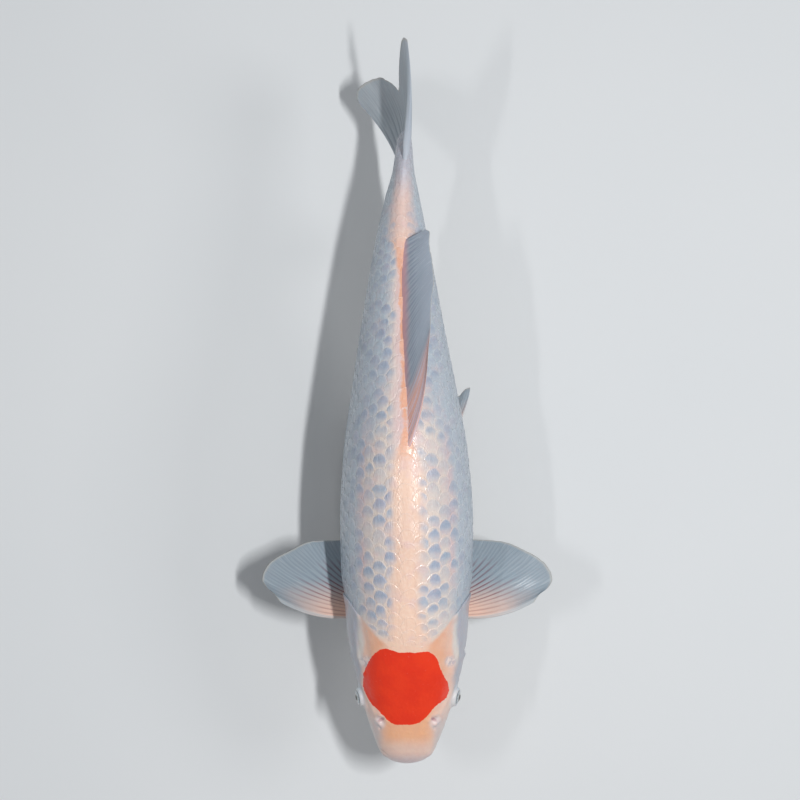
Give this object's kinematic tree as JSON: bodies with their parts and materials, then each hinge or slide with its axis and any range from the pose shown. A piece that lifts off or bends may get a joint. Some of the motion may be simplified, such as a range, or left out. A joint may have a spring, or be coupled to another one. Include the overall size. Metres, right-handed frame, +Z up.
{
  "type": "koi carp",
  "caption": "White koi carp with a round red patch on its head, swimming with spread pectoral fins and a turned tail, on a plain display stand.",
  "frame": {"origin": "middle of the underside of the stand's oval base", "axes": "+Z up, the head points to -Y and the tail to +Y, the fish's left side is +X"},
  "size_m": [0.2414, 0.5922, 0.2366],
  "materials": {
    "skin": "wet, scaled skin",
    "lips": "wet, smooth skin",
    "fin": "wet rays and membrane",
    "eye": "clear wet eye",
    "stand_base": "satin black",
    "stand_rod": "satin"
  },
  "bodies": {
    "root": {"head": "skin", "lower_jaw": "skin", "gill_cover_left": "skin", "gill_cover_right": "skin", "trunk_front": "skin", "trunk_middle": "skin", "trunk_rear": "skin", "tail_stem": "skin", "upper_lip": "lips", "barbel_front_left": "lips", "barbel_front_right": "lips", "barbel_rear_left": "lips", "barbel_rear_right": "lips", "dorsal_fin": "fin", "anal_fin": "fin", "pectoral_fin_left": "fin", "pectoral_fin_right": "fin", "pelvic_fin_left": "fin", "pelvic_fin_right": "fin", "tail_lobe_upper": "fin", "tail_lobe_lower": "fin", "eye_left": "eye", "eye_right": "eye", "stand_base": "stand_base", "stand_rod_front": "stand_rod", "stand_rod_rear": "stand_rod"}
  },
  "joints": []
}
